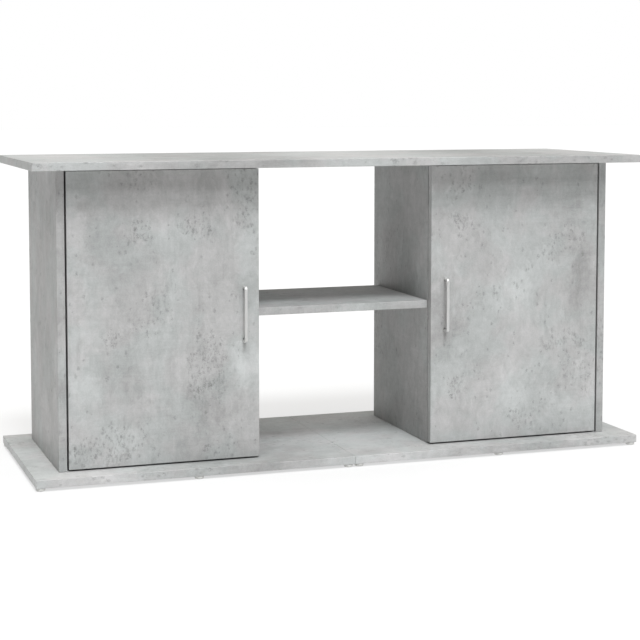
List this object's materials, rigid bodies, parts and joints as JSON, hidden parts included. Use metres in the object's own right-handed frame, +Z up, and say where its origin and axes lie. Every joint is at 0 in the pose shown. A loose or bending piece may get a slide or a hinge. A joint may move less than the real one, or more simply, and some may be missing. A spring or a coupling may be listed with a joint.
{
  "type": "aquarium stand cabinet",
  "caption": "Low aquarium stand in concrete-look board: a full-length top, hinged door cabinets at both ends, an open middle bay with a shelf, base boards on foot glides.",
  "frame": {"origin": "on the floor, at the middle of the stand's footprint", "axes": "+X along the stand towards the right-hand door, +Y towards the back, +Z up; the doors face -Y"},
  "size_m": [1.21, 0.41, 0.586],
  "materials": {
    "concrete_laminate": "light grey concrete-pattern laminate on chipboard, matt",
    "back_hardboard": "thin hardboard with a plain grey paper face",
    "handle_metal": "satin silver",
    "hinge_steel": "nickel-plated pressed steel",
    "screw_steel": "zinc plated",
    "glide_plastic": "pale grey moulded plastic",
    "dowel_wood": "plain beech"
  },
  "bodies": {
    "cabinet": {"top_board": "concrete_laminate", "bay_shelf": "concrete_laminate", "base_board_left": "concrete_laminate", "base_board_right": "concrete_laminate", "outer_side_panel_left": "concrete_laminate", "outer_side_panel_right": "concrete_laminate", "inner_side_panel_left": "concrete_laminate", "inner_side_panel_right": "concrete_laminate", "back_board_left": "back_hardboard", "back_board_right": "back_hardboard", "foot_glide_left_seam_front": "glide_plastic", "foot_glide_left_seam_back": "glide_plastic", "foot_glide_left_middle_front": "glide_plastic", "foot_glide_left_middle_back": "glide_plastic", "foot_glide_left_end_front": "glide_plastic", "foot_glide_left_end_back": "glide_plastic", "foot_glide_right_seam_front": "glide_plastic", "foot_glide_right_seam_back": "glide_plastic", "foot_glide_right_middle_front": "glide_plastic", "foot_glide_right_middle_back": "glide_plastic", "foot_glide_right_end_front": "glide_plastic", "foot_glide_right_end_back": "glide_plastic", "top_dowel_left_outer_front": "dowel_wood", "top_dowel_left_outer_back": "dowel_wood", "top_dowel_left_inner_front": "dowel_wood", "top_dowel_left_inner_back": "dowel_wood", "top_dowel_right_outer_front": "dowel_wood", "top_dowel_right_outer_back": "dowel_wood", "top_dowel_right_inner_front": "dowel_wood", "top_dowel_right_inner_back": "dowel_wood", "shelf_screw_left_front": "screw_steel", "shelf_screw_left_back": "screw_steel", "shelf_screw_right_front": "screw_steel", "shelf_screw_right_back": "screw_steel", "hinge_arm_left_lower": "hinge_steel", "hinge_arm_left_upper": "hinge_steel", "hinge_arm_right_lower": "hinge_steel", "hinge_arm_right_upper": "hinge_steel", "hinge_plate_left_lower": "hinge_steel", "hinge_plate_left_upper": "hinge_steel", "hinge_plate_right_lower": "hinge_steel", "hinge_plate_right_upper": "hinge_steel"},
    "left_door": {"door_left": "concrete_laminate", "handle_left": "handle_metal", "handle_screw_left_lower": "screw_steel", "handle_screw_left_upper": "screw_steel", "hinge_cup_left_lower": "hinge_steel", "hinge_cup_left_upper": "hinge_steel"},
    "right_door": {"door_right": "concrete_laminate", "handle_right": "handle_metal", "handle_screw_right_lower": "screw_steel", "handle_screw_right_upper": "screw_steel", "hinge_cup_right_lower": "hinge_steel", "hinge_cup_right_upper": "hinge_steel"},
    "left_hinge_links": {"hinge_link_left_lower": "hinge_steel", "hinge_link_left_upper": "hinge_steel"},
    "right_hinge_links": {"hinge_link_right_lower": "hinge_steel", "hinge_link_right_upper": "hinge_steel"}
  },
  "joints": [
    {"name": "left_door_hinge", "type": "hinge", "parent": "cabinet", "child": "left_door", "pos_m": [-0.53, -0.15, 0.296], "axis": [0, 0, -1], "range_deg": [0, 95]},
    {"name": "right_door_hinge", "type": "hinge", "parent": "cabinet", "child": "right_door", "pos_m": [0.53, -0.15, 0.296], "axis": [0, 0, 1], "range_deg": [0, 95]},
    {"name": "left_link_pivot", "type": "hinge", "parent": "cabinet", "child": "left_hinge_links", "pos_m": [-0.514, -0.1405, 0.296], "axis": [0, 0, 1], "range_deg": [0, 34]},
    {"name": "right_link_pivot", "type": "hinge", "parent": "cabinet", "child": "right_hinge_links", "pos_m": [0.514, -0.1405, 0.296], "axis": [0, 0, -1], "range_deg": [0, 34]}
  ],
  "couplings": [
    {"joint": "left_link_pivot", "follows": "left_door_hinge", "ratio": 0.3504},
    {"joint": "right_link_pivot", "follows": "right_door_hinge", "ratio": 0.3504}
  ]
}
